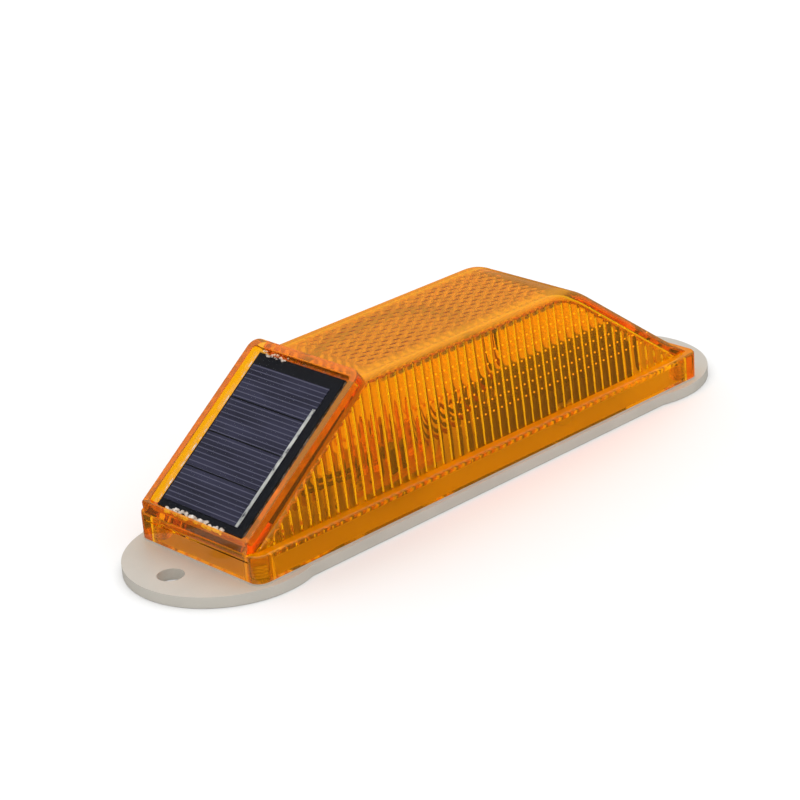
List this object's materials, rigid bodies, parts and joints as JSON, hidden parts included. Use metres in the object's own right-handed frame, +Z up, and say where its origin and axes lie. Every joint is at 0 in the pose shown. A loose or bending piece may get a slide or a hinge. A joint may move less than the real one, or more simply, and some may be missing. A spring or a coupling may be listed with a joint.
{
  "type": "barricade warning light",
  "caption": "Solar barricade warning light: hollow amber ribbed lens with a sloped solar panel end, on a white mounting plate with a bolt hole at each end.",
  "frame": {"origin": "centre of the footprint, on the underside of the mounting plate", "axes": "+X along the length, away from the solar panel end; +Y across the plate; +Z up through the lens"},
  "size_m": [0.1882, 0.048, 0.0427],
  "materials": {
    "plate_plastic": "cream white moulded plastic, satin",
    "amber_lens": "amber translucent plastic, glossy, ribbed",
    "amber_tray": "deeper amber translucent plastic, glossy",
    "seal_rubber": "soft white silicone rubber cord",
    "foam": "black foam",
    "panel_black": "black backing board",
    "solar_cell": "dark blue-grey silicon with fine collector lines",
    "clear_resin": "clear glossy resin",
    "silicone": "milky silicone sealant",
    "screw_steel": "zinc plated",
    "plated_steel": "nickel plated",
    "tinned_copper": "bright tin",
    "contact_brass": "stamped brass",
    "board_phenolic": "brown phenolic board",
    "led_epoxy": "amber epoxy dome",
    "component_black": "black moulded plastic",
    "copper_winding": "enamelled copper winding on a ferrite drum",
    "capacitor_sleeve": "dark blue sleeve",
    "resistor_body": "tan lacquer with colour bands",
    "holder_plastic": "dark moulded plastic",
    "battery_green": "dark green shrink sleeve",
    "wire_red": "red wire insulation",
    "wire_black": "black wire insulation"
  },
  "bodies": {
    "light": {"base_plate": "plate_plastic", "seal_ring": "seal_rubber", "lens_cover": "amber_lens", "lens_screws": "screw_steel", "solar_tray": "amber_tray", "panel_pad": "foam", "panel_board": "panel_black", "solar_cells": "solar_cell", "cell_ribbon": "tinned_copper", "panel_laminate": "clear_resin", "silicone_bead": "silicone", "panel_wire_red": "wire_red", "panel_wire_black": "wire_black", "circuit_board": "board_phenolic", "board_screws": "screw_steel", "leds": "led_epoxy", "led_legs": "tinned_copper", "controller_chip": "component_black", "chip_legs": "tinned_copper", "inductor": "copper_winding", "capacitor": "capacitor_sleeve", "resistors": "resistor_body", "charge_diode": "component_black", "battery_holder": "holder_plastic", "holder_screws": "screw_steel", "battery_can": "plated_steel", "battery_sleeve": "battery_green", "spring_plate": "plated_steel", "contact_spring": "plated_steel", "contact_plate": "plated_steel", "battery_wire_red": "wire_red", "battery_wire_black": "wire_black", "switch_frame": "plated_steel", "switch_base": "board_phenolic", "switch_terminals": "contact_brass", "switch_screws": "screw_steel", "switch_wires": "wire_black"},
    "switch_slider": {"switch_lever": "component_black", "switch_wiper": "contact_brass"}
  },
  "joints": [
    {"name": "switch_slide", "type": "slide", "parent": "light", "child": "switch_slider", "axis": [1, 0, 0], "range_m": [0, 0.003]}
  ]
}
